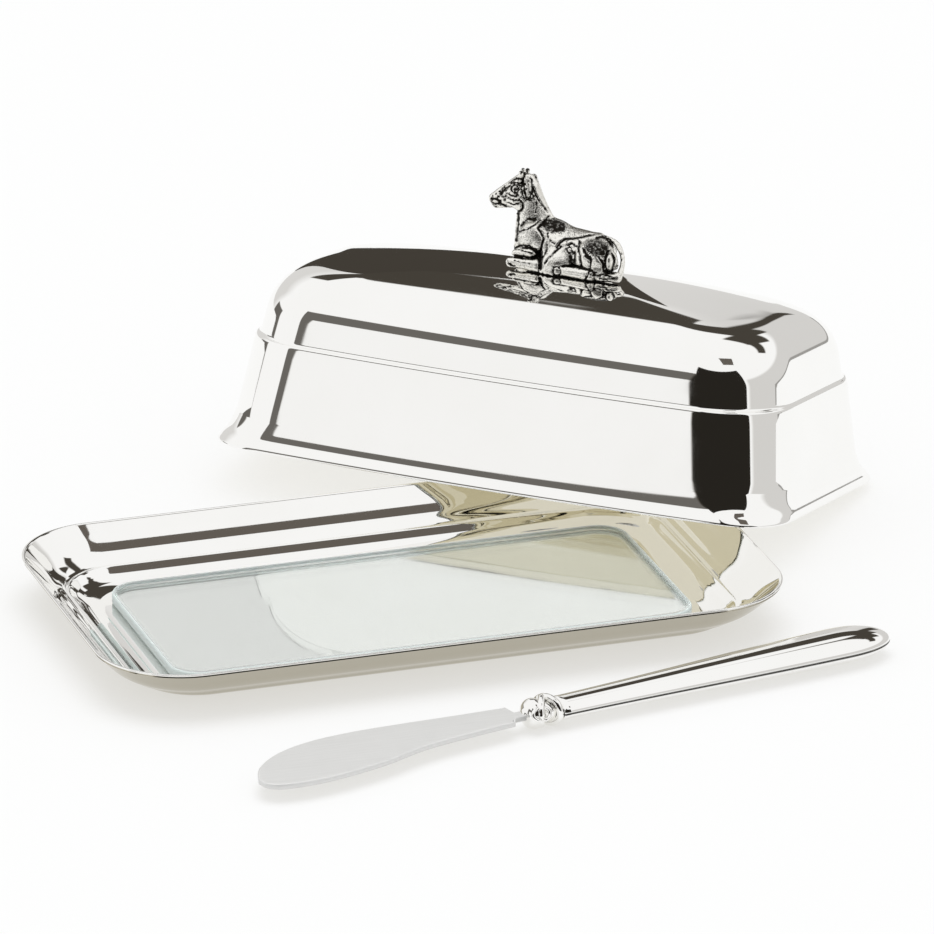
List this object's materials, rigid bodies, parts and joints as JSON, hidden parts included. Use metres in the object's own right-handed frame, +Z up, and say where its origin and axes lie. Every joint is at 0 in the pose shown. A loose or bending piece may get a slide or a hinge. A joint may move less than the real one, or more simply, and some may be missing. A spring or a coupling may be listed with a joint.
{
  "type": "covered butter dish",
  "caption": "Silver-plated rectangular butter dish: tray with glass insert, domed cover with a lying calf finial leaning on its rim, and a butter knife.",
  "frame": {"origin": "centre of the tray's flat base, which stands on the table at Z 0", "axes": "X along the tray's long side, Y across it towards the leaning cover, Z up"},
  "size_m": [0.2591, 0.2878, 0.0914],
  "materials": {
    "silver": "mirror-polished silver plate",
    "old_silver": "cast and antiqued silver plate, dark in its recesses",
    "steel": "satin stainless steel",
    "glass": "clear float glass with polished, faintly green edges",
    "cement": "dull handle cement"
  },
  "bodies": {
    "tray": {"tray": "silver"},
    "glass": {"glass_insert": "glass"},
    "cover": {"cover_shell": "silver", "calf_finial": "old_silver", "finial_stud": "steel", "finial_washer": "steel", "finial_nut": "steel"},
    "knife": {"knife_blade": "steel", "knife_collar": "silver", "knife_handle_top_shell": "silver", "knife_handle_bottom_shell": "silver", "knife_handle_filler": "cement"}
  },
  "joints": [
    {"name": "cover_lift", "type": "slide", "parent": "tray", "child": "cover", "axis": [0, 0, 1], "range_m": [0, 0.075]},
    {"name": "glass_lift", "type": "slide", "parent": "tray", "child": "glass", "axis": [-0.6784, -0.5088, 0.5299], "range_m": [0, 0.07]},
    {"name": "knife_lift", "type": "slide", "parent": "tray", "child": "knife", "axis": [0, 0, 1], "range_m": [0, 0.06]}
  ]
}
